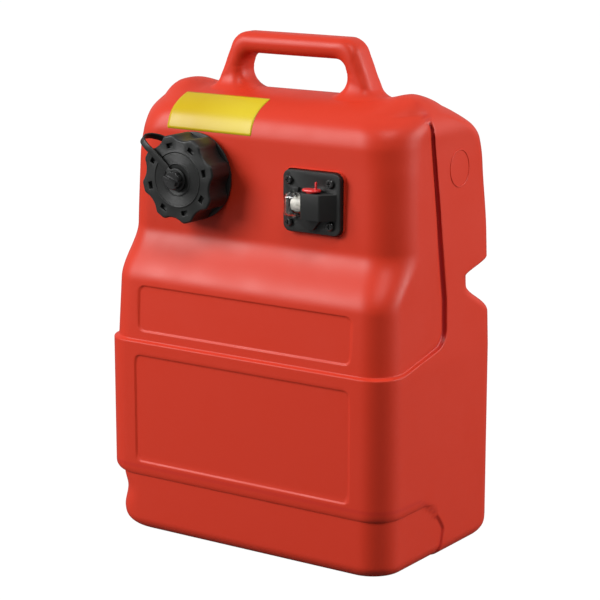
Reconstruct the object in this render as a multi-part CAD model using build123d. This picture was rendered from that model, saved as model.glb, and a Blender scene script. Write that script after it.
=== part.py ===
# Portable outboard fuel tank, 25 litre class, standing on its base as it is carried.
# Frame: X across the front, +Y to the back, +Z up, origin at the middle of the base.
# In the boat it lies on its back face, so the fittings and the gauge then look up.
# Front distances (names in _front, _back) are counted forwards from the XZ plane.
import math
import os

from build123d import *

os.makedirs("parts", exist_ok=True)

# ---------------------------------------------------------------- tank, driving dimensions
tank_width = 350.0
tank_depth = 218.0
corner_radius = 30.0
crown_corner = 54.0     # the same corner where it meets the crown
wall = 4.0
base_radius = 13.0      # lower edge at the front and the right
rear_base_radius = 20.0 # lower edge at the back and the left
dome_z = 418.0          # the front wall curls over from here
dome_rise = 46.2        # crown above dome_z
shoulder_radius = 36.8
roof_slope = 0.338      # fall of the roof to the back, and its two roundings
crest_radius = 56.6
roof_edge = 60.0
belt_z = 202.0          # ledge round the front, where the slimmer upper front starts
step = 3.5              # how far that upper front is set in
belly_lean = 3.5        # how far the front leans back over the belly above the ledge
belly_height = 68.0
side_lean = 0.0364      # each side's lean above the ledge, per mm of height
front_recess = 27.0     # the fittings stand in this step back of the upper front
recess_z0 = 266.0
recess_height = 54.0
back_lean = 6.2         # the back wall's lean, between these heights above the notch
back_lean_z0, back_lean_z1 = 318.0, dome_z - 18.0
dome_lean = 2.5         # the front's last lean, up to the dome
notch_depth = 43.2      # strap notch across the back
notch_z0, notch_z1 = 236.7, 272.0
notch_z2, notch_z3 = 281.5, 295.2
foot_z = 60.1           # crease over the foot
foot_lip = 9.0          # rounding of the edge that hangs over the crease
foot_inset = 2.0        # foot behind the front and the right side
scoop_inset = 9.4       # finger scoop along the left side of the foot
scoop_hollow = 4.2

crown_z = dome_z + dome_rise
recess_face = tank_depth / 2 - step - belly_lean - front_recess

# ---------------------------------------------------------------- handle
handle_height = 55.1
handle_depth = 34.0
handle_foot, handle_bar = 96.8, 71.8    # half widths at the roof and at the top
hand_foot, hand_bar = 66.0, 60.0        # half widths of the hand opening, at the roof and at the top
hand_height = 36.1
hand_sink = 2.6         # the opening starts this far under the crown

# ---------------------------------------------------------------- filler neck and cap
cap_x, cap_z = -74.4, dome_z - 39.5
neck_outer, neck_inner = 30.0, 24.0
neck_front = recess_face + 22.0
gasket_thick = 2.0
liner_top, shell_top = 5.0, 5.0
cap_front = neck_front + gasket_thick + liner_top + shell_top
cap_length = 29.0
cap_back = cap_front - cap_length
cap_radius = 45.0
liner_radius = 37.0
liner_gap = 0.4         # between the neck and the liner
lobes = 8
lobe_phase = 14.8
flute_radius, flute_reach = 20.0, 40.0
shank_radius = 4.0
vent_radius = 9.5
eye_radius, eye_bore = 11.5, 7.4
neck_ring_radius = 44.5
tether_turn = 46.2      # degrees from straight up towards -X

# ---------------------------------------------------------------- sender and outlet unit
unit_x, unit_z = 69.25, dome_z - 52.8
unit_width, unit_height = 67.5, 61.6
pad_front = recess_face + 1.0
flange_gasket_thick = 1.0
plate_thick = 4.0
boss_height = 14.5
gasket_front = pad_front + flange_gasket_thick
plate_front = gasket_front + plate_thick
boss_front = plate_front + boss_height
screw_radius, insert_radius = 2.4, 3.5
screw_left, screw_right = unit_width / 2 - 7.5, unit_width / 2 - 11.3
screw_top, screw_bottom = unit_height / 2 - 10.0, unit_height / 2 - 9.6
screw_places = [(unit_x + x, unit_z + z) for z in (screw_top, -screw_bottom) for x in (-screw_left, screw_right)]
pin_radius = 1.5
pivot_y, pivot_z = 9.0 - plate_front, unit_z - 3.2
lens_x, lens_z = unit_x - 19.65, unit_z - 3.0
lens_width, lens_height, lens_front = 17.0, 23.5, plate_front + 10.8
lens_seal_thick = 0.9
drum_x0, drum_x1, drum_radius = lens_x - 4.6, lens_x + 5.0, 9.6
arm_x, arm_back, arm_down, wire_radius = unit_x - 7.35, 17.0, 140.0, 1.25
float_radius, float_length = 13.0, 24.0
tube_x, tube_z, tube_radius, tube_bore = unit_x + 5.75, unit_z - 0.2, 4.0, 2.6
port_y, port_radius = -plate_front - 7.4, 5.0
strainer_back = 12.0 - tank_depth / 2


def ramp(z, z0, z1):
    t = min(1.0, max(0.0, (z - z0) / (z1 - z0)))
    return t * t * (3 - 2 * t)


def arc_inset(z, top, radius):
    """how far a rounding that starts at height top has come in at z below it"""
    s = min(1.0, max(0.0, top - z) / radius)
    return 1 - math.sqrt(1 - s * s)


def foot_depth(z, inset, depth, hollow):
    """how far a side of the foot stands in, under the rounded edge that hangs over it"""
    raised = z - 0.8 * inset
    if raised > foot_z:
        return depth * arc_inset(raised, foot_z + foot_lip, foot_lip)
    low = ramp(z + 0.4 * inset, 0.33 * foot_z, 0.7 * foot_z)
    high = ramp(z - 0.4 * inset, 0.7 * foot_z, foot_z)
    return depth + hollow * (low - high)


def outline(z, inset, set_in, scooped):
    """left, right, front and back of the tank at height z, inset from the outer skin"""
    top = crown_z - inset
    set_in *= 1 - ramp(z, dome_z + 7, crown_z - 6.2)
    r = shoulder_radius - inset
    half = tank_width / 2 - set_in - inset - side_lean * max(0.0, min(z, dome_z) - belt_z)
    half -= r * arc_inset(2 * top - z - r, top, r)
    front = set_in + inset - tank_depth / 2
    front += belly_lean * min(1.0, max(0.0, z - belt_z) / belly_height)
    front += front_recess * ramp(z + 0.4 * inset, recess_z0, recess_z0 + recess_height)
    front += dome_lean * ramp(z, recess_z0 + recess_height, dome_z)
    front *= math.sqrt(max(0.0, 1 - (max(0.0, z - dome_z) / (top - dome_z)) ** 2))
    back = tank_depth / 2 - inset - back_lean * ramp(z, back_lean_z0, back_lean_z1)
    roof = math.sqrt(((top - z) / roof_slope) ** 2 + 2 * crest_radius * (top - z))
    t = min(1.0, max(0.0, 0.5 + 0.5 * (back - roof) / roof_edge))
    back += t * (roof - back) - roof_edge * t * (1 - t)
    back -= notch_depth * ramp(z + 0.55 * inset, notch_z0, notch_z1)
    back += notch_depth * ramp(z - 0.8 * inset, notch_z2, notch_z3)
    sides = []
    plain = (base_radius, foot_inset, 0)
    scoop = (rear_base_radius, scoop_inset, scoop_hollow)
    for radius, depth, hollow in (scoop, plain, plain, (rear_base_radius, 0, 0)):
        side = (radius - inset) * arc_inset(z, radius, radius - inset)
        sides.append(side + (foot_depth(z, inset, depth, hollow) if scooped else 0))
    return sides[0] - half, half - sides[1], front + sides[2], back - sides[3]


def form(inset=0.0, set_in=0.0, scooped=False):
    """the tank as one skin through its level outlines"""
    zs = [inset + z for z in (0, 1.2, 4.0, 8.0)] + [base_radius, rear_base_radius]
    if scooped:
        lip_z = foot_z + 0.8 * inset
        zs += [0.47 * foot_z, 0.58 * foot_z, 0.7 * foot_z, 0.85 * foot_z]
        zs += [lip_z + foot_lip * k for k in (0, 0.05, 0.22, 0.5, 1.0)]
    zs += [belt_z, notch_z0]
    zs += [notch_z0 + (notch_z1 - notch_z0) * k for k in (0.18, 0.36, 0.55, 0.75, 0.9, 1.0)]
    zs += [notch_z2 + (notch_z3 - notch_z2) * k for k in (0.0, 0.2, 0.4, 0.6, 0.8, 1.0)]
    zs += [recess_z0 + recess_height * k for k in (0.66, 0.78, 0.9, 1.0)]
    zs += [dome_z - below for below in (68, 33, 14, 0)]
    zs += [dome_z + (crown_z - inset - dome_z) * k for k in (0.18, 0.36, 0.54, 0.7, 0.83, 0.92, 0.97, 0.992)]
    levels = []
    for z in zs:
        left, right, front, back = outline(z, inset, set_in, scooped)
        r = corner_radius - inset + (crown_corner - corner_radius) * ramp(z, dome_z - 26, crown_z)
        r = min(r, 0.48 * (back - front))
        level = RectangleRounded(right - left, back - front, r)
        levels.append(Pos((left + right) / 2, (front + back) / 2, z) * level)
    return loft(levels, ruled=True)


def side_prism(points, rounded):
    """a region drawn on the side view (y, z) and carried across the whole width"""
    line = Polyline([(0, y, z) for y, z in points], close=True)
    solid = extrude(Face(Wire(line.edges())), tank_width, both=True)
    for y, z, r in rounded:
        solid = fillet(solid.edges().filter_by(Axis.X).sort_by_distance((0, y, z))[0], r)
    return solid


def upper_front(grow):
    """the region in front of the step line, where the tank is set in"""
    corner = (4 - grow, belt_z + 19 - grow)
    return side_prism(
        [(-tank_depth, belt_z - grow), (-74, belt_z + 3 - grow), corner, (5.5 - grow, recess_z0 - 1),
         (-5 - grow, dome_z - 50), (-14 - grow, dome_z + 27), (-18 - grow, crown_z + 96),
         (-tank_depth, crown_z + 96)],
        [(*corner, 15)])


def foot_front(grow):
    """the region of the foot, in front of the line that rounds down the sides"""
    high, low = (grow - 11, foot_z - 8), (grow * 0.5 + 3.6, foot_z - 31.6)
    return side_prism(
        [(-tank_depth, foot_z + 10 + grow), (grow - 45, foot_z + 10 + grow), high, low, (grow * 0.5, 14),
         (-12, -20), (-tank_depth, -20)], [(*high, 15), (*low, 14)])


def ahead(shape, x=0.0, z=0.0):
    """turn a shape drawn along +Z so that it faces the front, -Y"""
    return Pos(x, 0, z) * Rot(90, 0, 0) * shape


def rod(x, z, r, front, back):
    """a round bar along Y; front and back are distances in front of the XZ plane"""
    return ahead(Pos(0, 0, (front + back) / 2) * Cylinder(r, front - back), x, z)


def slab(x0, x1, z0, z1, front, back, r=0.0):
    """a plate facing the front with rounded corners"""
    face = RectangleRounded(x1 - x0, z1 - z0, r) if r else Rectangle(x1 - x0, z1 - z0)
    return ahead(Pos(0, 0, back) * extrude(face, front - back), (x0 + x1) / 2, (z0 + z1) / 2)


def plaque(x, z, width, height, front, back, r=0.0):
    """the same plate by its middle and size"""
    return slab(x - width / 2, x + width / 2, z - height / 2, z + height / 2, front, back, r)


def ring(outer, inner, front, back):
    return rod(cap_x, cap_z, outer, front, back) - rod(cap_x, cap_z, inner, front + 1, back - 1)


def cross_rod(y, z, r, x0, x1):
    return Pos((x0 + x1) / 2, y, z) * Rot(0, 90, 0) * Cylinder(r, x1 - x0)


def around(count, phase, r):
    """places round the cap axis, each with its angle from straight up"""
    for k in range(count):
        t = math.radians(360 * k / count - phase)
        yield cap_x + r * math.sin(t), cap_z + r * math.cos(t), math.degrees(t)


def sender_opening(front, back):
    """the hole that the float and the pickup go in by, with a seat left round its edge"""
    hole = rod(unit_x, unit_z, 25.0, front, back)
    return hole + plaque(unit_x - 0.5, unit_z - 0.1, unit_width - 14.6, unit_height - 29, front, back, 3)


# ---------------------------------------------------------------- tank shell
def moulding(inset, grow):
    """belly, set-in upper front and foot, joined at their lines"""
    region, foot_region = upper_front(-grow), foot_front(grow)
    solid = (form(inset) - region) + (form(inset, set_in=step) & region)
    return (solid - foot_region) + (form(inset, scooped=True) & foot_region)


grip_z = crown_z - 3.6
handle_top = crown_z + handle_height
grip_root = 126.0       # half width of its root inside the roof
grip = Polygon((-grip_root, grip_z - 20), (grip_root, grip_z - 20), (grip_root, grip_z),
               (handle_foot, grip_z), (handle_bar, handle_top), (-handle_bar, handle_top),
               (-handle_foot, grip_z), (-grip_root, grip_z), align=None)
grip = fillet(grip.vertices().group_by(Axis.Y)[-1], 20)
grip = fillet([v for v in grip.vertices() if abs(v.Y - grip_z) < 0.1 and abs(v.X) < grip_root - 1], 15)
hand_z0 = crown_z - hand_sink
hand_z1 = hand_z0 + hand_height
hand = Polygon((-hand_foot, hand_z0), (hand_foot, hand_z0), (hand_bar, hand_z1), (-hand_bar, hand_z1),
               align=None)
hand = fillet(hand.vertices().group_by(Axis.Y)[-1], 14)
grip -= fillet(hand.vertices().group_by(Axis.Y)[0], 18)
grip = ahead(extrude(grip, handle_depth / 2, both=True))
grip = fillet([e for e in grip.edges() if abs(abs(e.center().Y) - handle_depth / 2) < 0.01
               and e.bounding_box().max.Z > grip_z - 19], 9.5)

neck = rod(cap_x, cap_z, neck_outer, neck_front, recess_face - 9)
neck += rod(cap_x, cap_z, neck_ring_radius - 6.5, recess_face + 1.4, recess_face - 9)
pad = plaque(unit_x, unit_z, unit_width + 3, unit_height + 3, pad_front, recess_face - 7, 9)
shell = moulding(0, 0) + grip + neck + pad - moulding(wall, wall)
for x, z in screw_places:
    shell += rod(x, z, insert_radius + 2.9, pad_front - 3, recess_face - 12)
shell -= rod(cap_x, cap_z, neck_inner, neck_front + 1, recess_face - 20)
shell -= sender_opening(pad_front + 1, recess_face - 20)
for x, z in screw_places:
    shell -= rod(x, z, insert_radius, pad_front + 1, recess_face - 10)

panel_depth = 1.2
panel_margin = 42.5     # from the panel's edge to the tank's side
front_panel_z0, front_panel_z1 = foot_z + 15.5, belt_z - 12.4
half_panel = tank_width / 2 - panel_margin
belly = tank_depth / 2
shell -= slab(-half_panel, half_panel, front_panel_z0, front_panel_z1, belly + 20, belly - panel_depth, 7)
lean = math.degrees(math.atan(belly_lean / belly_height))
upper_panel = Pos(0, -20, 26.5) * Box(2 * half_panel - 4, 40, 47)
upper_panel = Pos(0, panel_depth + step - tank_depth / 2, belt_z + 10) * Rot(-lean, 0, 0) * upper_panel
upper_panel = fillet(upper_panel.edges().filter_by(lambda e: abs(e.length - 40) < 0.01), 7)
shell -= upper_panel
export_step(shell, "parts/tank_shell.step")

# ---------------------------------------------------------------- label on the front shoulder
label_width, label_height, label_lean = 105.0, 46.0, 39.0
patch = extrude(RectangleRounded(label_width, label_height, 2), 30, both=True)
patch = Pos(-63.5, 53 - tank_depth / 2, dome_z + 24.4) * Rot(label_lean, 0, 0) * patch
label = (form(inset=-0.5, set_in=step) & patch) - form(inset=-0.1, set_in=step)
export_step(label, "parts/front_label.step")

# ---------------------------------------------------------------- filler cap
thread_back = cap_back + 2.0
liner_front = cap_front - shell_top
cap = rod(cap_x, cap_z, cap_radius, cap_front, cap_back)
for x, z, t in around(lobes, lobe_phase - 180 / lobes, flute_reach + flute_radius):
    cap -= rod(x, z, flute_radius, cap_front + 1, cap_back - 1)
cap = chamfer(cap.edges().filter_by(Axis.Y), 1.5)
cap = chamfer(cap.faces().sort_by(Axis.Y)[0].edges(), 1.4)
cap -= rod(cap_x, cap_z, liner_radius, liner_front, cap_back - 1)
for x, z, t in around(lobes, lobe_phase, 34.6):
    cap -= Pos(x, -cap_front, z) * Rot(0, t, 0) * Box(7.6, 7, 5)
for r in (28.6, eye_radius + 5.2):
    cap += ring(r, r - 1.3, cap_front + 0.7, cap_front - 1)
vent_seat = cap_front - 1.8
cap -= rod(cap_x, cap_z, 6.4, cap_front + 1, vent_seat)
cap -= rod(cap_x, cap_z, shank_radius + 0.3, cap_front + 1, liner_front - 4)
export_step(cap, "parts/cap_shell.step")

gasket_top = neck_front + gasket_thick
liner = rod(cap_x, cap_z, liner_radius, liner_front, thread_back)
liner -= rod(cap_x, cap_z, neck_outer + liner_gap, gasket_top, thread_back - 1)
liner -= rod(cap_x, cap_z, shank_radius + 0.3, liner_front + 1, gasket_top - 1)
export_step(liner, "parts/cap_thread_liner.step")
export_step(ring(neck_outer, neck_inner, gasket_top, neck_front), "parts/cap_gasket.step")

# ---------------------------------------------------------------- vent in the cap
knob_back, knob_front = cap_front + 3.3, cap_front + 9.5
vent = rod(cap_x, cap_z, shank_radius, cap_front + 1, cap_front - 18)
vent += rod(cap_x, cap_z, 6.0, knob_back + 0.7, cap_front + 0.1)
knob = rod(cap_x, cap_z, vent_radius, knob_front, knob_back)
knob = chamfer(knob.edges().filter_by(GeomType.CIRCLE).sort_by(Axis.Y)[0], 1.2)
knob += Pos(cap_x, -knob_front - 1.1, cap_z) * Rot(0, 20, 0) * Box(15.5, 5.4, 4.6)
vent += knob
for x, z, t in around(8, 0, vent_radius + 0.9):
    vent -= rod(x, z, 1.8, cap_front + 21, cap_front + 3)
groove_front, groove_back, groove_radius = cap_front - 13.4, cap_front - 15.4, 3.0
vent -= ring(8, groove_radius, groove_front, groove_back)
export_step(vent, "parts/vent_screw.step")
export_step(ring(6.2, shank_radius + 0.05, cap_front, cap_front - 1.7), "parts/vent_seal.step")
clip = ring(6.6, groove_radius, groove_front - 0.1, groove_back + 0.1)
clip -= Pos(cap_x + 5, -(groove_front + groove_back) / 2, cap_z) * Box(10, 4, 2.6)
export_step(clip, "parts/vent_retainer.step")

# ---------------------------------------------------------------- tether
tether_way = (math.sin(math.radians(tether_turn)), math.cos(math.radians(tether_turn)))


def tether_plane(shape):
    """a shape drawn with x = distance in front, y = distance from the cap axis"""
    return Plane(origin=(cap_x, 0, cap_z), x_dir=(0, -1, 0), z_dir=(-tether_way[1], 0, -tether_way[0])) * shape


eye_front, eye_back = cap_front + 2.8, cap_front + 0.8
eye = ring(eye_radius, eye_bore, eye_front, eye_back)
eye += tether_plane(Pos(eye_back + 0.75, eye_radius + 0.8) * Box(2.5, 4.5, 5.6))
export_step(eye, "parts/tether_eye.step")
ring_front = recess_face + 4.0
strap_thick, strap_width = 1.8, 5.6
path = Spline([(eye_back + 0.8, eye_radius + 3.3), (cap_front + 3.2, 31), (cap_front + 3.4, cap_radius + 2),
               (cap_front - 1.5, cap_radius + 13.5), ((cap_front + ring_front) / 2 + 3, cap_radius + 17.5),
               (ring_front + 7.5, cap_radius + 14), (ring_front + 0.6, neck_ring_radius + 6.0)],
              tangents=[(0.1, 1), (-0.75, -0.8)])
strap = extrude(trace(path, line_width=strap_thick), strap_width / 2, both=True)
export_step(tether_plane(strap), "parts/tether_strap.step")
neck_ring = ring(neck_ring_radius, neck_outer + 0.3, ring_front, ring_front - 2.4)
neck_ring += tether_plane(Pos(ring_front - 1.2, neck_ring_radius + 1.5) * Box(2.4, 8, 9))
neck_ring -= rod(cap_x, cap_z, neck_outer + 0.3, ring_front + 1, ring_front - 4)
export_step(neck_ring, "parts/tether_neck_ring.step")

# ---------------------------------------------------------------- sender plate and outlet
def lens_window(front, back):
    """the opening through plate and seal that the gauge is read through"""
    return plaque(lens_x, lens_z - 0.1, lens_width - 4.8, lens_height - 3.5, front, back, 2)


plate = plaque(unit_x, unit_z, unit_width, unit_height, plate_front, gasket_front, 8)
plate = chamfer(plate.faces().sort_by(Axis.Y)[0].edges(), 0.8)
boss_x0, boss_x1 = unit_x - 7.25, unit_x + 30.15
boss = Polygon((boss_x0, 1 - plate_front), (boss_x0 + 2.6, -boss_front), (boss_x1 - 11.2, -boss_front),
               (boss_x1, 1 - plate_front), align=None)
boss = fillet([v for v in boss.vertices() if v.Y < -boss_front + 1], 4)
boss_top = unit_z + 11.4
boss = Pos(0, 0, boss_top - 26) * extrude(boss, 26)
boss = chamfer(boss.faces().sort_by(Axis.Z)[-1].edges(), 0.8)
gusset = Polygon((-12.25, -17.2), (12.75, -17.2), (12.75, -13.2), (-7.25, -13.2), (-12.25, -15.2), align=None)
gusset += Polygon((-4.45, -26.4), (4.25, -26.4), (11.75, -17.2), (-11.25, -17.2), align=None)
gusset = ahead(Pos(0, 0, plate_front - 1) * extrude(gusset, 5.5), unit_x, unit_z)
spigot = rod(tube_x, tube_z, tube_radius + 3.4, gasket_front + 1, gasket_front - 19)
outlet = plate + boss + gusset + spigot
outlet += plaque(lens_x + 2.2, lens_z + lens_height / 2 + 3.4, 7.5, 4.4, plate_front + 3.2, plate_front - 1)
outlet -= Pos(tube_x, port_y, boss_top - 15.6 + 20) * Cylinder(port_radius, 40)
outlet -= rod(tube_x, tube_z, tube_radius - 1.6, -port_y, gasket_front - 20)
outlet -= rod(tube_x, tube_z, tube_radius, gasket_front - 5, gasket_front - 20)
outlet -= lens_window(plate_front + 9, gasket_front - 7)
for x, z in screw_places:
    outlet -= rod(x, z, screw_radius + 0.3, plate_front + 9, gasket_front - 7)
export_step(outlet, "parts/outlet_body.step")

gasket = plaque(unit_x, unit_z, unit_width, unit_height, gasket_front, pad_front, 8)
gasket -= sender_opening(gasket_front + 3, pad_front - 6)
for x, z in screw_places:
    gasket -= rod(x, z, screw_radius + 0.3, gasket_front + 3, pad_front - 6)
export_step(gasket, "parts/flange_gasket.step")

screws, inserts = [], []
insert_back = recess_face - 9.8
for x, z in screw_places:
    head = rod(x, z, 4.3, plate_front + 3.0, plate_front)
    head = chamfer(head.edges().filter_by(GeomType.CIRCLE).sort_by(Axis.Y)[0], 0.8)
    head -= Pos(x, -plate_front - 3.0, z) * (Box(1.1, 3.4, 5) + Box(5, 3.4, 1.1))
    screws.append(head + rod(x, z, screw_radius, plate_front + 0.5, insert_back + 1.2))
    inserts.append(rod(x, z, insert_radius, pad_front - 0.2, insert_back)
                   - rod(x, z, screw_radius + 0.05, pad_front + 1, insert_back + 0.8))
export_step(Compound(children=screws), "parts/flange_screws.step")
export_step(Compound(children=inserts), "parts/thread_inserts.step")

plug_head = Pos(tube_x - 0.6, port_y + 0.3, boss_top + 1.4) * extrude(SlotOverall(20, 12.6), 2.4)
plug_head = chamfer(plug_head.faces().sort_by(Axis.Z)[-1].edges(), 0.8)
plug = plug_head + Pos(tube_x, port_y, boss_top - 3.8) * Cylinder(port_radius - 0.3, 10.6)
plug += Pos(tube_x + 5, port_y - 0.4, boss_top + 7.4) * Box(1.3, 2.8, 8)
plug += Pos(tube_x, port_y, boss_top + 0.75) * Cylinder(port_radius + 0.8, 1.5)
export_step(plug, "parts/port_plug.step")

# ---------------------------------------------------------------- gauge
seal_front = plate_front + lens_seal_thick
seat = plaque(lens_x, lens_z, lens_width, lens_height, seal_front, plate_front, 3)
export_step(seat - lens_window(seal_front + 8, plate_front - 8), "parts/lens_seal.step")


def window_block(shrink, front, back):
    block = plaque(lens_x, lens_z, lens_width - 2 * shrink, lens_height - 2 * shrink, front, back, 5 - shrink)
    return chamfer(block.faces().sort_by(Axis.Y)[0].edges(), 3.4 - 0.6 * shrink)


lens = window_block(0, lens_front, seal_front) - window_block(1.6, lens_front - 1.6, plate_front - 1)
export_step(lens, "parts/gauge_lens.step")

drum = cross_rod(pivot_y, pivot_z, drum_radius, drum_x0, drum_x1)
drum -= cross_rod(pivot_y, pivot_z, drum_radius - 1.5, drum_x0 + 1.5, drum_x1 + 1)
drum += cross_rod(pivot_y, pivot_z, pin_radius + 1.7, drum_x0, drum_x1)
drum -= cross_rod(pivot_y, pivot_z, pin_radius, drum_x0 - 1, drum_x1 + 1)
export_step(drum, "parts/gauge_drum.step")
export_step(cross_rod(pivot_y, pivot_z, pin_radius, drum_x0 - 0.6, arm_x + 5), "parts/gauge_pivot_pin.step")
bracket = Pos(arm_x, 0.8 - gasket_front, pivot_z) * Box(8.6, 1.6, 13)
for x in (arm_x - 3.5, arm_x + 3.5):
    bracket += Pos(x, 4.4 - gasket_front, pivot_z) * Box(1.6, 8.8, 13)
bracket = chamfer(bracket.edges().filter_by(Axis.X).group_by(Axis.Y)[-1], 2.5)
bracket -= cross_rod(pivot_y, pivot_z, pin_radius + 0.05, arm_x - 12, arm_x + 13)
export_step(bracket, "parts/gauge_bracket.step")

elbow_y, float_z = pivot_y + arm_back, pivot_z - arm_down
float_x1 = arm_x - 2.9
float_x0 = float_x1 - float_length - 4
wire = FilletPolyline([(arm_x, pivot_y + 2.5, pivot_z), (arm_x, elbow_y, pivot_z), (arm_x, elbow_y, float_z),
                       (float_x0 - 3.4, elbow_y, float_z)], radius=6)
arm = sweep(Plane(origin=wire @ 0, z_dir=wire % 0) * Circle(wire_radius), path=wire)
arm += cross_rod(pivot_y, pivot_z, pin_radius + 1.6, arm_x - 2, arm_x + 2)
arm -= cross_rod(pivot_y, pivot_z, pin_radius, arm_x - 5, arm_x + 5)
export_step(arm, "parts/float_arm.step")
bob = cross_rod(elbow_y, float_z, float_radius, float_x0, float_x1 - 4)
bob = chamfer(bob.edges().filter_by(GeomType.CIRCLE), 2.2)
bob -= cross_rod(elbow_y, float_z, wire_radius + 0.05, float_x0 - 1, float_x1 + 1)
export_step(bob, "parts/float.step")
stop = cross_rod(elbow_y, float_z, wire_radius + 1.9, float_x0 - 2.2, float_x0 - 0.2)
stop -= cross_rod(elbow_y, float_z, wire_radius, float_x0 - 3, float_x0 + 1)
export_step(stop, "parts/float_clip.step")

# ---------------------------------------------------------------- fuel pickup
tube_end = strainer_back + 13.0
tube = rod(tube_x, tube_z, tube_radius, gasket_front - 5, tube_end)
tube -= rod(tube_x, tube_z, tube_bore, gasket_front, tube_end - 1)
export_step(tube, "parts/pickup_tube.step")
strainer = rod(tube_x, tube_z, tube_radius + 2.6, tube_end + 7, strainer_back)
strainer -= rod(tube_x, tube_z, tube_radius, tube_end + 8, tube_end)
strainer -= rod(tube_x, tube_z, tube_radius + 1, tube_end, strainer_back + 1.5)
for k in range(3):
    y = 2.5 - tube_end + 3.4 * k
    strainer -= Pos(tube_x, y, tube_z) * (Box(20, 1.4, 5) + Box(5, 1.4, 20))
export_step(strainer, "parts/pickup_strainer.step")
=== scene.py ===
import math

import bmesh
import bpy
import numpy as np
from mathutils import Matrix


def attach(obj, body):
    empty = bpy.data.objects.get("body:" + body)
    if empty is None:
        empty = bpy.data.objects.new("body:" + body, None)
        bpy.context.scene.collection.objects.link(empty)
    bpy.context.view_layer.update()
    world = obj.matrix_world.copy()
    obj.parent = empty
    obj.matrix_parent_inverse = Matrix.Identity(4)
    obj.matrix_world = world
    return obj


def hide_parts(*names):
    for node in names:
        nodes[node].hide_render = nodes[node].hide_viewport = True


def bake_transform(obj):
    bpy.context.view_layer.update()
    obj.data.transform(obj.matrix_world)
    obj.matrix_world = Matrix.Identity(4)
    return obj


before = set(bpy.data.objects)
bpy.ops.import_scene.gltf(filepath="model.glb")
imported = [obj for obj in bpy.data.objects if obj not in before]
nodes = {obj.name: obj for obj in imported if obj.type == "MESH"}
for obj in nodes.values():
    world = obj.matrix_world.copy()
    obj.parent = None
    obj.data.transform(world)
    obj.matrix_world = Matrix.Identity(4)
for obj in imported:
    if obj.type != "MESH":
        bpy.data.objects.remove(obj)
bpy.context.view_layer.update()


# ---------------------------------------------------------------- tank
# One blow-moulded polyethylene moulding with its handle, filler neck and sender pad.
# Its skin is drawn in millimetres as level outlines, the same from belly to crown, with
# the set-in upper front and the scooped foot blended in across their moulded lines.
HALF_WIDTH, HALF_DEPTH = 175.0, 109.0
BELT, DOME, RISE = 202.0, 418.0, 46.2
crown = DOME + RISE
# levels over DOME are degrees round the dome, and the last stops just short of the crest
CREST_TURN = 89.7
# above the belt the sides lean in, and the front draws back: a little from the belt up, far
# over the belly, and a little more on the way to the roof
SIDE_LEAN, FRONT_LEAN, FRONT_LEAN_OVER = 0.0364, 3.5, 68.0
BELLY, FACE_LEAN, SET_IN = 27.0, 2.5, 3.5
recess_face = HALF_DEPTH - FRONT_LEAN - BELLY - FACE_LEAN
# behind the crest the roof falls to the back in a long slope, which a wide bend ends
SHOULDER, CREST_R, ROOF_SLOPE, ROOF_BEND = 36.8, 56.6, 0.338, 60.0
BACK_LEAN, NOTCH = 6.2, 43.2
# edges of the base, in front and on the right, and wider on the left and behind
BASE_EDGE, WIDE_BASE_EDGE = 13.0, 20.0
CORNER_R, CORNER_GROWS, FACE_CORNER_GROWS = 30.0, 24.0, 9.0
# the foot under its crease; its left side stands in more and has a hollow for the fingers
CREASE, LIP = 60.1, 9.0
FOOT_IN, LEFT_FOOT_IN, FINGER_HOLLOW = 2.0, 9.4, 4.2
# moulded lines as pairs of lists: the belt and the foot's sill go from front to back with
# their heights, the step and the foot's post go up with their places
BELT_LINE = [-200, -74, 4, 60], [202, 205, 221, 232.5]
STEP_LINE = [202, 221, 265, 368, 445, 560], [4, 4, 5.5, -5, -14, -18]
SILL_LINE = [-200, -45, -11, 60], [72, 70, 52, 14]
POST_LINE = [-20, 14, 28.5, 52, 90], [-12, 0, 3.6, -11, -36]
GROOVE_DEPTH, GROOVE_WIDTH, PANEL_DEPTH = 1.7, 1.8, 1.3


def ramp(z, a, b):
    """a smooth rise from 0 at a to 1 at b"""
    t = np.clip((z - a) / (b - a), 0, 1)
    return t * t * (3 - 2 * t)


def rounding(s):
    """how far a round edge has come in, as a share of its radius, at share s of the way"""
    s = np.clip(s, 0, 1)
    return 1 - np.sqrt(1 - s * s)


def foot(z, depth, hollow=0.0):
    """how far the foot stands in under its rounded edge"""
    under = depth + hollow * (ramp(z, 20, 42) - ramp(z, 42, CREASE))
    return np.where(z > CREASE, depth * rounding((CREASE + LIP - z) / LIP), under)


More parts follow.
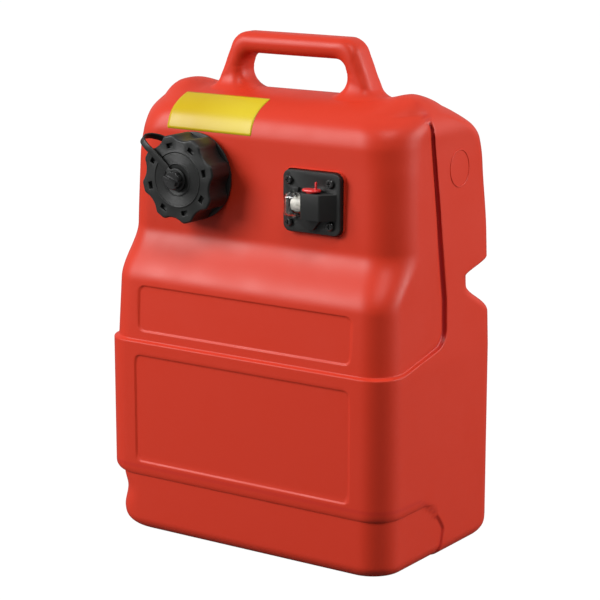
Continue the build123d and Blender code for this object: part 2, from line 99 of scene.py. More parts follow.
def skin_at(col, v, side, set_in=0.0, scooped=0.0):
    """points of the skin at levels v, on the left (-1) or right (1)

    A column is a kind and a fraction along it: 0 front, 1 front corner, 2 to 4 side,
    5 back corner, 6 back.
    """
    kind, part = col
    over = np.radians(np.clip(v - DOME, 0, CREST_TURN))
    z0 = np.minimum(v, DOME)
    z = z0 + RISE * np.sin(over)
    set_in = set_in * (1 - ramp(z, 425, 458))
    half = HALF_WIDTH - set_in - SIDE_LEAN * np.clip(z0 - BELT, 0, None)
    half = half - SHOULDER * rounding((z - crown + SHOULDER) / SHOULDER)
    front = -HALF_DEPTH + set_in + FRONT_LEAN * np.clip((z0 - BELT) / FRONT_LEAN_OVER, 0, 1)
    front = (front + BELLY * ramp(z0, 266, 320) + FACE_LEAN * ramp(z0, 320, DOME)) * np.cos(over)
    back = HALF_DEPTH - BACK_LEAN * ramp(z, 318, 400)
    roof = np.sqrt(((crown - z) / ROOF_SLOPE) ** 2 + 2 * CREST_R * (crown - z))
    t = np.clip(0.5 + 0.5 * (back - roof) / ROOF_BEND, 0, 1)
    back = back + t * (roof - back) - ROOF_BEND * t * (1 - t)
    back = back - NOTCH * (ramp(z, 236.7, 272) - ramp(z, 281.5, 295.2))
    base, wide_base = (r * rounding((r - z) / r) for r in (BASE_EDGE, WIDE_BASE_EDGE))
    if side > 0:
        half = half - base - foot(z, FOOT_IN) * scooped
    else:
        half = half - wide_base - foot(z, LEFT_FOOT_IN, FINGER_HOLLOW) * scooped
    front = front + base + foot(z, FOOT_IN) * scooped
    back = back - wide_base
    r = np.minimum(CORNER_R + CORNER_GROWS * ramp(z, 392, crown), 0.48 * (back - front))
    rf = r + FACE_CORNER_GROWS * ramp(z, 262, 322) * (1 - ramp(z, 400, 440)) * (side > 0)
    # the columns of a side are drawn together at the step
    y0, y3 = front + rf, back - r
    step = np.interp(z, *STEP_LINE)
    y1 = np.clip(step - 13, y0 + 0.2 * (y3 - y0), y0 + 0.6 * (y3 - y0))
    y2 = np.clip(step + 11, y1 + 0.1 * (y3 - y0), y3 - 0.1 * (y3 - y0))
    turn = np.radians(90 * part)
    x = np.select([kind == 0, kind == 1, kind == 5, kind == 6],
                  [part * (half - rf), half - rf + rf * np.sin(turn), half - r + r * np.cos(turn),
                   part * (half - r)], half)
    y = np.select([kind == 0, kind == 1, kind == 2, kind == 3, kind == 4, kind == 5],
                  [front, front + rf - rf * np.cos(turn), y0 + part * (y1 - y0), y1 + part * (y2 - y1),
                   y2 + part * (y3 - y2), back - r + r * np.sin(turn)], back)
    return np.stack([side * x, y, z], -1)


def inside(a, b, bend):
    """how far a point is inside a corner, from its distances to the two lines, rounded by bend"""
    rounded = bend - np.hypot(np.minimum(a - bend, 0), np.minimum(b - bend, 0))
    return np.where((a < bend) & (b < bend), rounded, np.minimum(a, b))


# columns from the middle of the front to the middle of the back, and levels from the base
# to the crest: close together where the form turns or has an edge
FRONT_SPAN = 145
across = [x / FRONT_SPAN for x in [*np.arange(0, 124, 3.5), *np.arange(125, 137), 139, 142, FRONT_SPAN]]
cols = [(0, c) for c in across]
for kind, count in ((1, 14), (2, 12), (3, 34), (4, 14), (5, 14)):
    cols += [(kind, k / count) for k in range(1, count + 1)]
cols += [(6, x / FRONT_SPAN) for x in np.arange(0, 144, 5.8)[::-1]]
kinds, parts = (np.array([c[k] for c in cols], float)[None, :] for k in (0, 1))
levels = [WIDE_BASE_EDGE * (1 - math.cos(math.radians(a))) for a in range(0, 91, 6)]
levels += [22, *np.arange(24, 58, 2), 59, 59.8, CREASE, 60.2, 60.4, 60.8, 61.4, 62.2, 63.2, 64.5]
levels += [66, 67.5, 69.1, 71, 73, *np.arange(74.4, 77.6, 0.8)]
levels += [*np.arange(82, 187, 5.2), *np.arange(187.6, 191.6, 0.8), 194, 197, 199.5]
levels += [*np.arange(201, 208.2, 0.6), *np.arange(209, 213, 2), *np.arange(213.4, 217, 0.7)]
levels += [*np.arange(218.5, 260, 2.2), *np.arange(260.6, 264, 0.7), *np.arange(265, 280, 2)]
levels += [*np.arange(280, 297, 1), *np.arange(298, 330, 2), *np.arange(331, 416, 5)]
levels += [DOME + t for t in [*np.arange(0, 60, 2.5), *np.arange(60, 74, 1.3),
                              *np.arange(74, 82, 0.6), *np.arange(82, 89.6, 1.2), CREST_TURN]]


def panel(x, z, wide, z0, z1, r=7):
    """1 inside a rounded rectangle on the front, 0 outside"""
    dx = np.abs(x) - (wide - r)
    dz = np.abs(z - (z0 + z1) / 2) - ((z1 - z0) / 2 - r)
    out = np.hypot(np.maximum(dx, 0), np.maximum(dz, 0)) + np.minimum(np.maximum(dx, dz), 0) - r
    return 1 - ramp(out, -0.9, 0.9)


def moulded_side(side):
    """the skin of one half with what is moulded in it, and the painted shade of each point: darker in the
    mould line and the foot's crease
    """
    v = np.array(levels, float)[:, None] + 0 * parts
    # the levels rise with the belt from the front to the back
    rough_y = skin_at((kinds, parts), v, side)[..., 1]
    rise = np.interp(rough_y, [-109, -74, 4, 40, 90], [0, 0.8, 16.8, 16.8, 0])
    v = v + rise * ramp(v, 120, 204.2) * (1 - ramp(v, 204.2, 330))
    full = skin_at((kinds, parts), v, side)
    y, z = full[..., 1], full[..., 2]
    # each distance to a leaning line is shortened by the cosine of its lean
    above_belt = (z - np.interp(y, *BELT_LINE)) * 0.98
    ahead = inside(above_belt, np.interp(z, *STEP_LINE) - y, 15)
    front_part = ramp(ahead, -1.2, 1.3)
    under_sill = (np.interp(y, *SILL_LINE) - z) * 0.95
    before_post = (np.interp(z, *POST_LINE) - y) * 0.9
    under = inside(under_sill, before_post, 13)
    foot_part = ramp(under, -1.0, 1.6)
    set_front = skin_at((kinds, parts), v, side, set_in=SET_IN)
    scooped = skin_at((kinds, parts), v, side, scooped=1.0)
    skin = full + (set_front - full) * front_part[..., None] + (scooped - full) * foot_part[..., None]
    # the mould line at the foot of the step, deepest down the sides
    outward = np.cross(np.gradient(skin, axis=1), np.gradient(skin, axis=0)) * side
    outward /= np.maximum(np.linalg.norm(outward, axis=-1, keepdims=True), 1e-9)
    down_side = ramp(z, 206, 232) * (1 - ramp(z, 446, 463.5)) * (kinds > 0.5)
    line = np.exp(-((ahead - 0.4) / GROOVE_WIDTH) ** 2) * down_side
    skin -= outward * GROOVE_DEPTH * line[..., None]
    # the roof stands a little higher at its shoulders than between the feet of the handle
    x = np.abs(skin[..., 0])
    hump = (5.0 * ramp(x, 104, 132) - 4.6 * ramp(x, 143, 164)) * (1 - ramp(-y, 10, 42))
    skin[..., 2] += (hump - 1.6) * ramp(z, 436, 459)
    # the framed panels of the front, below the belt and above it
    x, z = skin[..., 0], skin[..., 2]
    sunk = np.maximum(panel(x, z, 132.5, 75.6, 189.6), panel(x, z, 130.5, 215, 262))
    skin[..., 1] += PANEL_DEPTH * sunk * (kinds < 1)
    # painted shade: how much the red darkens in the mould line and, half as much, in the foot's crease
    return skin, line + 0.5 * np.exp(-((under - 0.6) / 1.6) ** 2) * (z < 72)


bm = bmesh.new()
# each vertex keeps how much painted shade darkens the red there
shade_of = bm.verts.layers.float.new("crease_shade")
right_skin, right_shade = moulded_side(1)
left_skin, left_shade = moulded_side(-1)


def row(points, shades):
    """vertices for the points of one level, each with its painted shade from the mould line and the foot's
    crease
    """
    made = []
    for point, line in zip(points / 1000, shades):
        made.append(bm.verts.new(point))
        made[-1][shade_of] = line
    return made


# the skin, left open where the filler neck and the sender go in, whose middles these are
CAP, UNIT = (-74.4, 378.5), (69.25, 365.2)
NECK_HOLE_R, SENDER_HOLE_R = 27, 22
grid = []
for k in range(len(levels)):
    right = row(right_skin[k], right_shade[k])
    left = row(left_skin[k, 1:-1], left_shade[k, 1:-1])
    grid.append(right + left[::-1])
for a, b in zip(grid, grid[1:]):
    for k in range(len(a)):
        n = (k + 1) % len(a)
        centre = (a[k].co + b[n].co) * 500
        in_neck = math.hypot(centre.x - CAP[0], centre.z - CAP[1]) < NECK_HOLE_R
        in_sender = math.hypot(centre.x - UNIT[0], centre.z - UNIT[1]) < SENDER_HOLE_R
        if not (centre.y < -60 and (in_neck or in_sender)):
            bm.faces.new((a[k], a[n], b[n], b[k]))
bm.faces.new(grid[0][::-1])

# the thin strip left open along the crest is zipped up from the left shoulder to the right
ring = grid[-1]
right_end = next(k for k, v in enumerate(ring) if v.co.y >= 0)
left_end = next(k for k in range(right_end, len(ring)) if ring[k].co.y < 0)
fore, aft = ring[left_end:] + ring[:right_end], ring[right_end:left_end][::-1]
f = a = 0
while f < len(fore) - 1 or a < len(aft) - 1:
    if a == len(aft) - 1 or (f < len(fore) - 1 and fore[f + 1].co.x < aft[a + 1].co.x):
        bm.faces.new((fore[f], fore[f + 1], aft[a]))
        f += 1
    else:
        bm.faces.new((fore[f], aft[a + 1], aft[a]))
        a += 1

# handle: two leaning legs and a bar, round in section, flaring into the roof at the feet.
# Each arc is its centre from the middle and over the crown, and its radius.
LEAN, OPEN_LEAN = 23.07, 9.44
FOOT_ARC, SHOULDER_ARC = (106.0, 13.1, 15), (58.57, 35.1, 20)
LOW_ARC, HIGH_ARC = (45.8, 16.3, 18), (49.3, 19.5, 14)
BAR_TOP, BAR_UNDER, BAR_R = 55.1, 33.5, 11.0
HALF_THICK, FLARE, BEDDED = 17.0, 14.0, 1.8


def arc(cx, cz, r, a0, a1, steps=14):
    angles = [math.radians(a0 + (a1 - a0) * k / steps) for k in range(steps + 1)]
    return [(cx + r * math.cos(a), crown + cz + r * math.sin(a)) for a in angles]


def straight(p, q, steps=12):
    return [(p[0] + (q[0] - p[0]) * k / steps, p[1] + (q[1] - p[1]) * k / steps) for k in range(1, steps)]


def drawn(low_arc, high_arc, bar):
    """one edge of the handle's right half: round below, a leaning straight, round above, the bar"""
    middle = (0, crown + bar)
    return (low_arc + straight(low_arc[-1], high_arc[0]) + high_arc
            + straight(high_arc[-1], middle) + [middle])


def roof_fall(y):
    """how far the roof has fallen at y from its crest"""
    if y <= 0:
        return RISE * (1 - math.sqrt(1 - (y / recess_face) ** 2))
    steep = 1 / ROOF_SLOPE ** 2
    return (math.sqrt(CREST_R ** 2 + steep * y * y) - CREST_R) / steep


outer = drawn(arc(*FOOT_ARC, 270, 180 + LEAN), arc(*SHOULDER_ARC, LEAN, 90), BAR_TOP)
inner = drawn(arc(*LOW_ARC, -90, OPEN_LEAN), arc(*HIGH_ARC, OPEN_LEAN, 90), BAR_UNDER)
line = list(zip(outer, inner))
line += [((-o[0], o[1]), (-i[0], i[1])) for o, i in reversed(line[:-1])]
loops = []
for o, i in line:
    o, i = np.array(o), np.array(i)
    mid, arm = (o + i) / 2, (o - i) / 2
    width = np.linalg.norm(arm)
    over_roof = min(max(mid[1] - (crown - BEDDED), 0), FLARE)
    half_depth = HALF_THICK + FLARE - math.sqrt(FLARE ** 2 - (FLARE - over_roof) ** 2)
    r = min(BAR_R + (half_depth - HALF_THICK) * 0.8, width - 0.4)
    loop = []
    for k in range(4):
        for s in range(7):
            a = math.radians(90 * k + 15 * s)
            px = (width - r) * (1 if k in (0, 3) else -1) + r * math.cos(a)
            py = (half_depth - r) * (1 if k in (0, 1) else -1) + r * math.sin(a)
            p = mid + arm / width * px
            sunk = (1 - over_roof / FLARE) * (roof_fall(py) + 0.1)
            loop.append(bm.verts.new((p[0] / 1000, py / 1000, (p[1] - sunk) / 1000)))
    loops.append(loop)
for a, b in zip(loops, loops[1:]):
    for k in range(len(a)):
        n = (k + 1) % len(a)
        bm.faces.new((a[k], a[n], b[n], b[k]))

# filler neck: a tube with a shallow thread, and the collar the tether ring sits on
NECK_R, THREAD_PITCH, THREAD_DEPTH, THREAD_FROM, THREAD_TO = 30, 6, 1.1, 80, 96
outline = [(24, 62), (24, 96), (25, 97), (29, 97)] + [(NECK_R, 96.2 - 0.5 * k) for k in range(33)]
outline += [(NECK_R, 76.6), (37.4, 76.4), (38, 75.8), (38, 66)]
spots = [bm.verts.new(((CAP[0] + r) / 1000, -d / 1000, CAP[1] / 1000)) for r, d in outline]
edges = [bm.edges.new(pair) for pair in zip(spots, spots[1:])]
old = set(bm.verts) - set(spots)
bmesh.ops.spin(bm, geom=spots + edges, cent=(CAP[0] / 1000, 0, CAP[1] / 1000), axis=(0, 1, 0),
               angle=2 * math.pi, steps=96, use_merge=True)
for v in set(bm.verts) - old:
    x, d, z = v.co.x * 1000 - CAP[0], -v.co.y * 1000, v.co.z * 1000 - CAP[1]
    if abs(math.hypot(x, z) - NECK_R) < 0.01 and THREAD_FROM < d < THREAD_TO:
        wave = (d / THREAD_PITCH + math.atan2(x, z) / (2 * math.pi)) % 1
        run_out = min(1, (THREAD_TO - d) / 1.5, (d - THREAD_FROM) / 1.5)
        sink = THREAD_DEPTH * (1 - min(1, abs(wave - 0.5) * 4)) * run_out
        v.co.x = (CAP[0] + x * (1 - sink / NECK_R)) / 1000
        v.co.z = (CAP[1] + z * (1 - sink / NECK_R)) / 1000

# sender pad: the raised seat that fills the slope behind the gauge plate, a disc pulled out
# into a rounded rectangle and drawn forward
PAD_CORNER_R, PAD_X, PAD_Z = 9, 26.25, 23.3
disc = bmesh.ops.create_circle(bm, segments=40, radius=PAD_CORNER_R / 1000)["verts"]
for v in disc:
    x, z = v.co.x * 1000, v.co.y * 1000
    v.co = ((UNIT[0] + x + math.copysign(PAD_X, x)) / 1000, -0.066,
            (UNIT[1] + z + math.copysign(PAD_Z, z)) / 1000)
edges = [e for e in bm.edges if e.verts[0] in disc and e.verts[1] in disc]
for d, grow in ((75.0, 1.0), (76.0, 0.985)):
    made = bmesh.ops.extrude_edge_only(bm, edges=edges)["geom"]
    edges = [g for g in made if isinstance(g, bmesh.types.BMEdge)]
    for v in [g for g in made if isinstance(g, bmesh.types.BMVert)]:
        v.co = ((UNIT[0] + (v.co.x * 1000 - UNIT[0]) * grow) / 1000, -d / 1000,
                (UNIT[1] + (v.co.z * 1000 - UNIT[1]) * grow) / 1000)


def finished(bm, name):
    """the piece that a bmesh has become, smooth and in its place"""
    mesh = bpy.data.meshes.new(name)
    bm.to_mesh(mesh)
    bm.free()
    mesh.polygons.foreach_set("use_smooth", [True] * len(mesh.polygons))
    piece = bpy.data.objects.new(name, mesh)
    bpy.context.scene.collection.objects.link(piece)
    return piece


bmesh.ops.recalc_face_normals(bm, faces=bm.faces)
tank = finished(bm, "tank_moulding")

# the moulded grain: the fine pebble that a mould leaves, with a little unevenness in the
# gloss. One group for every material, which takes the size and depth of the pebbles, the
# roughness and how uneven it is.
grain = bpy.data.node_groups.new("moulded_grain", "ShaderNodeTree")
for name, default in (("Pebbles per metre", 900.0), ("Depth", 0.1), ("Roughness", 0.45),
                      ("Unevenness", 0.08)):
    socket = grain.interface.new_socket(name, in_out="INPUT", socket_type="NodeSocketFloat")
    socket.default_value = default
grain.interface.new_socket("Normal", in_out="OUTPUT", socket_type="NodeSocketVector")
grain.interface.new_socket("Roughness", in_out="OUTPUT", socket_type="NodeSocketFloat")
g, link = grain.nodes, grain.links.new
entry, leave, place = g.new("NodeGroupInput"), g.new("NodeGroupOutput"), g.new("ShaderNodeTexCoord")
pebble, cloud = g.new("ShaderNodeTexNoise"), g.new("ShaderNodeTexNoise")
bump, spread = g.new("ShaderNodeBump"), g.new("ShaderNodeMapRange")
pebble.inputs["Detail"].default_value = 2.0
cloud.inputs["Scale"].default_value = 22.0
bump.inputs["Distance"].default_value = 0.0004
link(place.outputs["Object"], pebble.inputs["Vector"])
link(place.outputs["Object"], cloud.inputs["Vector"])
link(entry.outputs["Pebbles per metre"], pebble.inputs["Scale"])
link(pebble.outputs["Fac"], bump.inputs["Height"])
link(entry.outputs["Depth"], bump.inputs["Strength"])
link(bump.outputs["Normal"], leave.inputs["Normal"])
less, more = g.new("ShaderNodeMath"), g.new("ShaderNodeMath")
less.operation, more.operation = "SUBTRACT", "ADD"
for node in (less, more):
    link(entry.outputs["Roughness"], node.inputs[0])
    link(entry.outputs["Unevenness"], node.inputs[1])
link(cloud.outputs["Fac"], spread.inputs["Value"])
spread.inputs["From Min"].default_value, spread.inputs["From Max"].default_value = 0.3, 0.7
link(less.outputs["Value"], spread.inputs["To Min"])
link(more.outputs["Value"], spread.inputs["To Max"])
link(spread.outputs["Result"], leave.inputs["Roughness"])


def plastic(name, colour, roughness, pebbles=900.0, depth=0.1, unevenness=0.06, **more):
    """a Principled material with the moulded grain on it"""
    mat = bpy.data.materials.new(name)
    mat.use_nodes = True
    tree = mat.node_tree
    shader = tree.nodes["Principled BSDF"]
    shader.inputs["Base Color"].default_value = (*colour, 1.0)
    skin = tree.nodes.new("ShaderNodeGroup")
    skin.node_tree = grain
    skin.inputs["Pebbles per metre"].default_value = pebbles
    skin.inputs["Depth"].default_value = depth
    skin.inputs["Roughness"].default_value = roughness
    skin.inputs["Unevenness"].default_value = unevenness
    tree.links.new(skin.outputs["Normal"], shader.inputs["Normal"])
    tree.links.new(skin.outputs["Roughness"], shader.inputs["Roughness"])
    for key, value in more.items():
        shader.inputs[key.replace("_", " ")].default_value = value
    return mat


def second_colour(mat, colour, other):
    """mix another colour into a material; returns the socket that says how much of it shows"""
    tree = mat.node_tree
    tint = tree.nodes.new("ShaderNodeMix")
    tint.data_type = "RGBA"
    tint.inputs["A"].default_value, tint.inputs["B"].default_value = (*colour, 1), (*other, 1)
    tree.links.new(tint.outputs["Result"], tree.nodes["Principled BSDF"].inputs["Base Color"])
    return tint.inputs["Factor"]


# painted shade: the red is darkened in the mould line and in the foot's crease, where little light comes
RED, SHADED_RED = (0.53, 0.032, 0.0125), (0.42, 0.014, 0.013)
red = plastic("red_polyethylene", RED, 0.42, pebbles=700, depth=0.12, unevenness=0.05,
              Specular_IOR_Level=0.22)
in_shade = red.node_tree.nodes.new("ShaderNodeAttribute")
in_shade.attribute_name = "crease_shade"
red.node_tree.links.new(in_shade.outputs["Fac"], second_colour(red, RED, SHADED_RED))
tank.data.materials.append(red)
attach(tank, "tank")
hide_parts("tank_shell")


# ---------------------------------------------------------------- black fittings
# Cap, liner, vent, tether and sender body: black glass-filled or plain plastic, moulded
# one by one. Their edges are softened a little, as a mould leaves them.
def softened(node, body, width, angle=28):
    """a copy of a CAD piece with its edges rounded, which stands for it"""
    bm = bmesh.new()
    bm.from_mesh(nodes[node].data)
    bmesh.ops.remove_doubles(bm, verts=bm.verts, dist=1e-6)
    bmesh.ops.dissolve_limit(bm, angle_limit=math.radians(0.6), verts=bm.verts, edges=bm.edges)
    sharp = [e for e in bm.edges if e.is_manifold and e.calc_face_angle() > math.radians(angle)]
    bmesh.ops.bevel(bm, geom=sharp, offset=width / 1000, affect="EDGES", segments=2, profile=0.5,
                    material=-1, clamp_overlap=True)
    bmesh.ops.triangulate(bm, faces=[f for f in bm.faces if len(f.verts) > 4])
    piece = finished(bm, node + "_softened")
    piece.data.set_sharp_from_angle(angle=math.radians(38))
    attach(piece, body)
    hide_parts(node)
    return piece


def dress(piece, mat):
    """give a piece its material"""
    piece.data.materials.clear()
    piece.data.materials.append(mat)
    piece.data.polygons.foreach_set("use_smooth", [True] * len(piece.data.polygons))


black = plastic("black_plastic", (0.014, 0.0145, 0.014), 0.42, pebbles=1600, depth=0.3,
                Specular_IOR_Level=0.35)
dress(softened("cap_shell", "cap", 0.7), black)
dress(softened("outlet_body", "tank", 1.2, angle=17), black)
dress(softened("tether_neck_ring", "tank", 0.4), black)
dress(softened("tether_eye", "cap_carrier", 0.3), black)
for node in ("cap_thread_liner", "gauge_bracket"):
    dress(nodes[node], black)
gloss_black = plastic("glossy_black_plastic", (0.018, 0.018, 0.018), 0.2, pebbles=1600, depth=0.08)
dress(softened("vent_screw", "vent", 0.5), gloss_black)


def face_front(bm):
    """turn the faces of an open sheet to the front"""
    bmesh.ops.recalc_face_normals(bm, faces=bm.faces)
    if sum(f.normal.y * f.calc_area() for f in bm.faces) > 0:
        bmesh.ops.reverse_faces(bm, faces=bm.faces)


# fine rings turned into the mould of the cap's face, between its two raised rims
CAP_FACE, RINGS_FROM, RING_STEP, RING_LIFT = 109, 17.2, 0.3, 0.24
bm = bmesh.new()
spots = []
for k in range(34):
    r = RINGS_FROM + RING_STEP * k
    lift = 0.1 + (RING_LIFT if k % 4 in (1, 2) else 0.0)
    spots.append(bm.verts.new(((CAP[0] + r) / 1000, -(CAP_FACE + lift) / 1000, CAP[1] / 1000)))
edges = [bm.edges.new(pair) for pair in zip(spots, spots[1:])]
bmesh.ops.spin(bm, geom=spots + edges, cent=(CAP[0] / 1000, 0, CAP[1] / 1000), axis=(0, 1, 0),
               angle=2 * math.pi, steps=120, use_merge=True)
face_front(bm)
rings = finished(bm, "cap_face_rings")
dress(rings, black)
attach(rings, "cap")

# ---------------------------------------------------------------- tether strap
# A flat, bendy black strap moulded with a ring at one end and an eye at the other. It loops out past the
# cap's rim and back.
STRAP_WIDE, STRAP_THICK = 7.0, 2.0
# distance in front of the tank's middle plane, distance from the cap's axis, and turn
# from straight up towards the left, from the ring on the neck to the eye on the cap
way = [(79.4, 47.5, 46.2), (84.5, 55.0, 48.5), (92.5, 60.0, 50.0), (101.5, 60.5, 50.5), (109.0, 56.0, 50.0),
       (112.6, 47.0, 48.5), (112.6, 36.0, 47.0), (111.8, 24.0, 46.2), (110.8, 14.0, 46.2)]
STEPS = 8
points = [way[0]]
for k in range(len(way) - 1):
    p0, p1, p2, p3 = (np.array(way[min(max(k + j, 0), len(way) - 1)]) for j in (-1, 0, 1, 2))
    for s in range(1, STEPS + 1):
        t = s / STEPS
        points.append(0.5 * (2 * p1 + (p2 - p0) * t + (2 * p0 - 5 * p1 + 4 * p2 - p3) * t ** 2
                             + (3 * p1 - p0 - 3 * p2 + p3) * t ** 3))
bm = bmesh.new()
last = None
for ahead, reach, turn in points:
    a = math.radians(turn)
    mid = np.array((CAP[0] - reach * math.sin(a), -ahead, CAP[1] + reach * math.cos(a)))
    side = np.array((math.cos(a), 0, math.sin(a))) * STRAP_WIDE / 2
    if last is None:
        last = bm.edges.new([bm.verts.new((mid + s * side) / 1000) for s in (-1, 1)])
    else:
        made = bmesh.ops.extrude_edge_only(bm, edges=[last])["geom"]
        last = next(g for g in made if isinstance(g, bmesh.types.BMEdge))
        for v, s in zip(last.verts, (-1, 1)):
            v.co = (mid + s * side) / 1000
bmesh.ops.recalc_face_normals(bm, faces=bm.faces)
strap = finished(bm, "tether_strap_bent")
thickness = strap.modifiers.new("thickness", "SOLIDIFY")
thickness.thickness, thickness.offset = STRAP_THICK / 1000, 0
edge = strap.modifiers.new("edges", "BEVEL")
edge.width, edge.segments, edge.limit_method = 0.0006, 2, "ANGLE"
dress(strap, black)
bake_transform(strap)
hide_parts("tether_strap")

# ---------------------------------------------------------------- seals and float
# Nitrile rubber gaskets and the foam float, the white plastic of the fuel pickup and of the
# clip that keeps the vent screw in the cap, and the steel shaft and wire that carry the float.
rubber = plastic("black_rubber", (0.012, 0.012, 0.012), 0.6, pebbles=2500, depth=0.1)
for node in ("cap_gasket", "vent_seal", "lens_seal", "float", "flange_gasket"):
    dress(nodes[node], rubber)
white = plastic("white_plastic", (0.72, 0.71, 0.66), 0.4)
for node in ("vent_retainer", "pickup_tube", "pickup_strainer"):
    dress(nodes[node], white)
steel = plastic("steel", (0.55, 0.55, 0.56), 0.3, Metallic=1.0)
for node in ("gauge_pivot_pin", "float_arm", "float_clip"):
    dress(nodes[node], steel)

# ---------------------------------------------------------------- gauge and outlet
# A clear window over a pale drum that turns with the float, four black cross-head screws
# in brass inserts, and the red plug that closes the hose port.
dress(nodes["gauge_drum"], plastic("pale_drum", (0.75, 0.73, 0.68), 0.4))
dark_steel = plastic("dark_steel", (0.02, 0.02, 0.02), 0.22, depth=0.03)
dress(softened("flange_screws", "tank", 0.35), dark_steel)
dress(nodes["thread_inserts"], plastic("brass", (0.72, 0.53, 0.25), 0.3, Metallic=1.0))
dress(softened("port_plug", "plug", 0.5), plastic("red_plug", (0.62, 0.018, 0.018), 0.25))
clear = plastic("clear_plastic", (0.95, 0.95, 0.93), 0.04, depth=0.02, Transmission_Weight=1.0, IOR=1.47)
dress(softened("gauge_lens", "tank", 0.8), clear)

# ---------------------------------------------------------------- front label
# A bare yellow film label, a little paler towards its right end, stuck on the front of the
# roof over the cap. It follows the moulding under it.
WIDE, TALL, LABEL_X, LABEL_Y, LABEL_Z, TILT = 105, 48, -62.0, -56.4, 442.0, math.radians(39)
OFF_SKIN, FILM = 0.22, 0.18
top_rows = np.array(levels) > DOME - 20
patch = left_skin[top_rows][:, kinds[0] == 0][:, ::-1]


def on_roof(x, s):
    """the point of the roof's front at x that lies s up the label"""
    y = np.array([np.interp(x, line[:, 0], line[:, 1]) for line in patch])
    z = np.array([np.interp(x, line[:, 0], line[:, 2]) for line in patch])
    up = (y - LABEL_Y) * math.cos(TILT) + (z - LABEL_Z) * math.sin(TILT)
    return np.array((x, np.interp(s, up, y), np.interp(s, up, z)))


bm = bmesh.new()
bmesh.ops.create_grid(bm, x_segments=42, y_segments=24, size=0.5)
for v in bm.verts:
    x, s = LABEL_X + v.co.x * WIDE, v.co.y * TALL
    spot, above = on_roof(x, s), on_roof(x, s + 2)
    out = np.array((0, -(above - spot)[2], (above - spot)[1])) / np.linalg.norm(above - spot)
    v.co = (spot + OFF_SKIN * out) / 1000
corners = [v for v in bm.verts if len(v.link_faces) == 1]
bmesh.ops.bevel(bm, geom=corners, offset=0.0018, affect="VERTICES", segments=4, profile=0.5, material=-1)
face_front(bm)
label = finished(bm, "yellow_label")
film = label.modifiers.new("film", "SOLIDIFY")
film.thickness, film.offset = FILM / 1000, -1
YELLOW, PALE_END = (0.48, 0.33, 0.004), (0.55, 0.42, 0.015)
PALES_FROM, PALES_TO = -0.085, -0.03
yellow = plastic("yellow_film", YELLOW, 0.36, pebbles=500, depth=0.05, Specular_IOR_Level=0.25)
tree = yellow.node_tree
place, parts_of, paling = (tree.nodes.new("ShaderNode" + k) for k in ("TexCoord", "SeparateXYZ", "MapRange"))
paling.inputs["From Min"].default_value = PALES_FROM
paling.inputs["From Max"].default_value = PALES_TO
tree.links.new(place.outputs["Object"], parts_of.inputs["Vector"])
tree.links.new(parts_of.outputs["X"], paling.inputs["Value"])
tree.links.new(paling.outputs["Result"], second_colour(yellow, YELLOW, PALE_END))
dress(label, yellow)
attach(label, "tank")
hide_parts("front_label")

# ---------------------------------------------------------------- mould mark
# The thin raised circle that a plug in the mould leaves on the right side, high up: a small
# round bead run round in a circle and leaned with the side.
MARK_X, MARK_Y, MARK_Z, MARK_R, BEAD = 168.1, 35.5, 393.0, 18.4, 0.6
bm = bmesh.new()
bmesh.ops.create_circle(bm, segments=8, radius=BEAD / 1000)
for v in bm.verts:
    v.co = (v.co.x + MARK_X / 1000, v.co.y + (MARK_Y + MARK_R) / 1000, MARK_Z / 1000)
bmesh.ops.spin(bm, geom=bm.verts[:] + bm.edges[:], cent=(MARK_X / 1000, MARK_Y / 1000, MARK_Z / 1000),
               axis=(1, 0, 0), angle=2 * math.pi, steps=72, use_merge=True)
for v in bm.verts:
    v.co.x -= SIDE_LEAN * (v.co.z - MARK_Z / 1000)
bmesh.ops.recalc_face_normals(bm, faces=bm.faces)
mark = finished(bm, "side_mould_mark")
dress(mark, red)
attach(mark, "tank")

# ---------------------------------------------------------------- floor, light and camera
# A white studio: a large soft box in front on the left and another behind on the right, a
# small one overhead, and little light from where the camera stands. The floor is seen white
# by its glow, keeps the tank's shadow, and throws back little light.
bpy.ops.mesh.primitive_plane_add(size=30)
floor = bpy.context.object
FLOOR_GLOW, GLOW_SHARE = 1.26, 0.8
white_floor = plastic("white_floor", (0.10, 0.10, 0.10), 0.6, depth=0.0)
tree = white_floor.node_tree
seen, glow, both = (tree.nodes.new("ShaderNode" + k) for k in ("LightPath", "Emission", "MixShader"))
share = tree.nodes.new("ShaderNodeMath")
share.operation = "MULTIPLY"
share.inputs[1].default_value = GLOW_SHARE
glow.inputs["Strength"].default_value = FLOOR_GLOW
tree.links.new(seen.outputs["Is Camera Ray"], share.inputs[0])
tree.links.new(share.outputs["Value"], both.inputs["Fac"])
tree.links.new(tree.nodes["Principled BSDF"].outputs["BSDF"], both.inputs[1])
tree.links.new(glow.outputs["Emission"], both.inputs[2])
tree.links.new(both.outputs["Shader"], tree.nodes["Material Output"].inputs["Surface"])
floor.data.materials.append(white_floor)

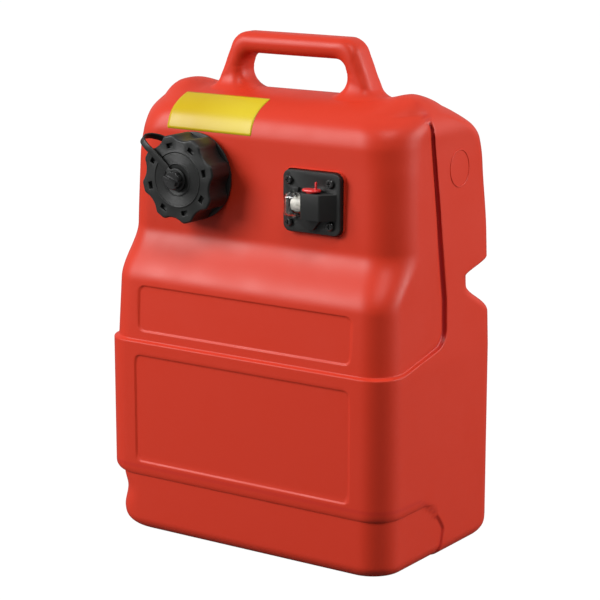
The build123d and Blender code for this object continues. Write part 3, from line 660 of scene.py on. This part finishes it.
# the world is white where it is seen, and otherwise a room that darkens towards the camera
world = bpy.data.worlds.new("studio")
bpy.context.scene.world = world
world.use_nodes = True
tree = world.node_tree
backdrop = tree.nodes["Background"]
seen, way_to, facing = (tree.nodes.new("ShaderNode" + k) for k in ("LightPath", "TexCoord", "VectorMath"))
dim, clear_view, room = (tree.nodes.new("ShaderNode" + k) for k in ("MapRange", "Math", "Mix"))
facing.operation, clear_view.operation = "DOT_PRODUCT", "MAXIMUM"
TO_CAMERA = (0.566, -0.8246, 0.1)
facing.inputs[1].default_value = TO_CAMERA
dim.interpolation_type = "SMOOTHSTEP"
for key, value in (("From Min", 0.1), ("From Max", 0.95), ("To Min", 0.42), ("To Max", 0.05)):
    dim.inputs[key].default_value = value
room.data_type = "FLOAT"
room.inputs["B"].default_value = 1.0
tree.links.new(way_to.outputs["Generated"], facing.inputs[0])
tree.links.new(facing.outputs["Value"], dim.inputs["Value"])
tree.links.new(seen.outputs["Is Camera Ray"], clear_view.inputs[0])
tree.links.new(seen.outputs["Is Transmission Ray"], clear_view.inputs[1])
tree.links.new(clear_view.outputs["Value"], room.inputs["Factor"])
tree.links.new(dim.outputs["Result"], room.inputs["A"])
tree.links.new(room.outputs["Result"], backdrop.inputs["Strength"])
backdrop.inputs["Color"].default_value = (1, 1, 1, 1)

TANK_MIDDLE = np.array((0, 0, 0.25))
for name, spot, size, power in (("left_box", (-1.8, -2.1, 1.8), 1.6, 114),
                                ("right_box", (2.3, 1.3, 1.2), 1.4, 66),
                                ("top_box", (0.9, -0.9, 2.3), 0.8, 22)):
    lamp = bpy.data.lights.new(name, "AREA")
    lamp.size, lamp.energy = size, power
    box = bpy.data.objects.new(name, lamp)
    bpy.context.scene.collection.objects.link(box)
    box.location = spot
    aim = TANK_MIDDLE - np.array(spot)
    box.rotation_euler = (math.atan2(math.hypot(aim[0], aim[1]), -aim[2]), 0,
                          math.atan2(aim[1], aim[0]) - math.pi / 2)
view = bpy.data.cameras.new("view")
view.lens, view.sensor_width = 129.45, 36.0
camera = bpy.data.objects.new("camera", view)
bpy.context.scene.collection.objects.link(camera)
camera.location = (1.2346, -1.7986, 0.7350)
camera.rotation_euler = (math.radians(90 - 12.68), 0, math.radians(34.46))
bpy.context.scene.camera = camera
bpy.context.scene.view_settings.view_transform = "Standard"
